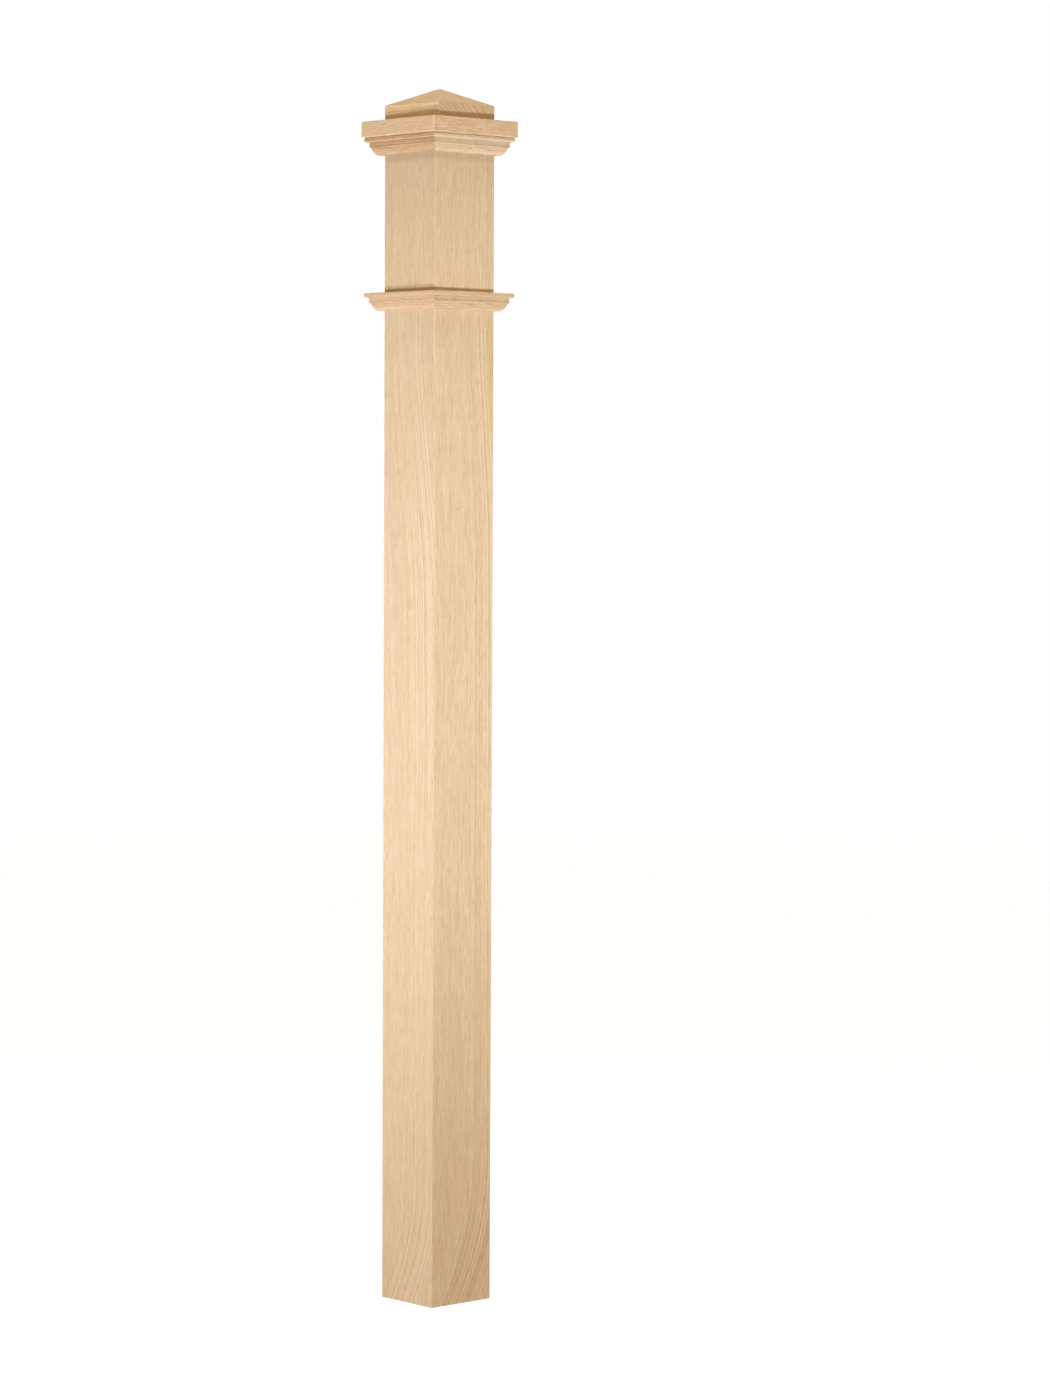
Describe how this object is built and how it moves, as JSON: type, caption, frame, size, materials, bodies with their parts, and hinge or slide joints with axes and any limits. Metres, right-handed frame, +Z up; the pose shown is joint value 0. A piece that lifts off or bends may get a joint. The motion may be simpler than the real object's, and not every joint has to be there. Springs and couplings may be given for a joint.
{
  "type": "box newel post",
  "caption": "Tall square hollow oak newel post with a moulded neck band and a moulded square cap under a low pyramid block; takes a stair handrail on its upper faces.",
  "frame": {"origin": "centre of the hollow foot, on the floor", "axes": "+Z up the post; -Y out of the front board and +X out of the right board"},
  "size_m": [0.128, 0.128, 1.397],
  "materials": {
    "shaft_oak": "planed and sanded bare red oak, unfinished",
    "moulding_oak": "machined bare red oak, unfinished",
    "plate_oak": "planed and sanded bare red oak, unfinished",
    "block_oak": "sawn and sanded bare red oak, unfinished"
  },
  "bodies": {
    "root": {"front_board": "shaft_oak", "right_board": "shaft_oak", "back_board": "shaft_oak", "left_board": "shaft_oak", "neck_moulding_front": "moulding_oak", "neck_moulding_right": "moulding_oak", "neck_moulding_back": "moulding_oak", "neck_moulding_left": "moulding_oak", "crown_moulding_front": "moulding_oak", "crown_moulding_right": "moulding_oak", "crown_moulding_back": "moulding_oak", "crown_moulding_left": "moulding_oak", "cap_plate": "plate_oak", "cap_block": "block_oak"}
  },
  "joints": []
}
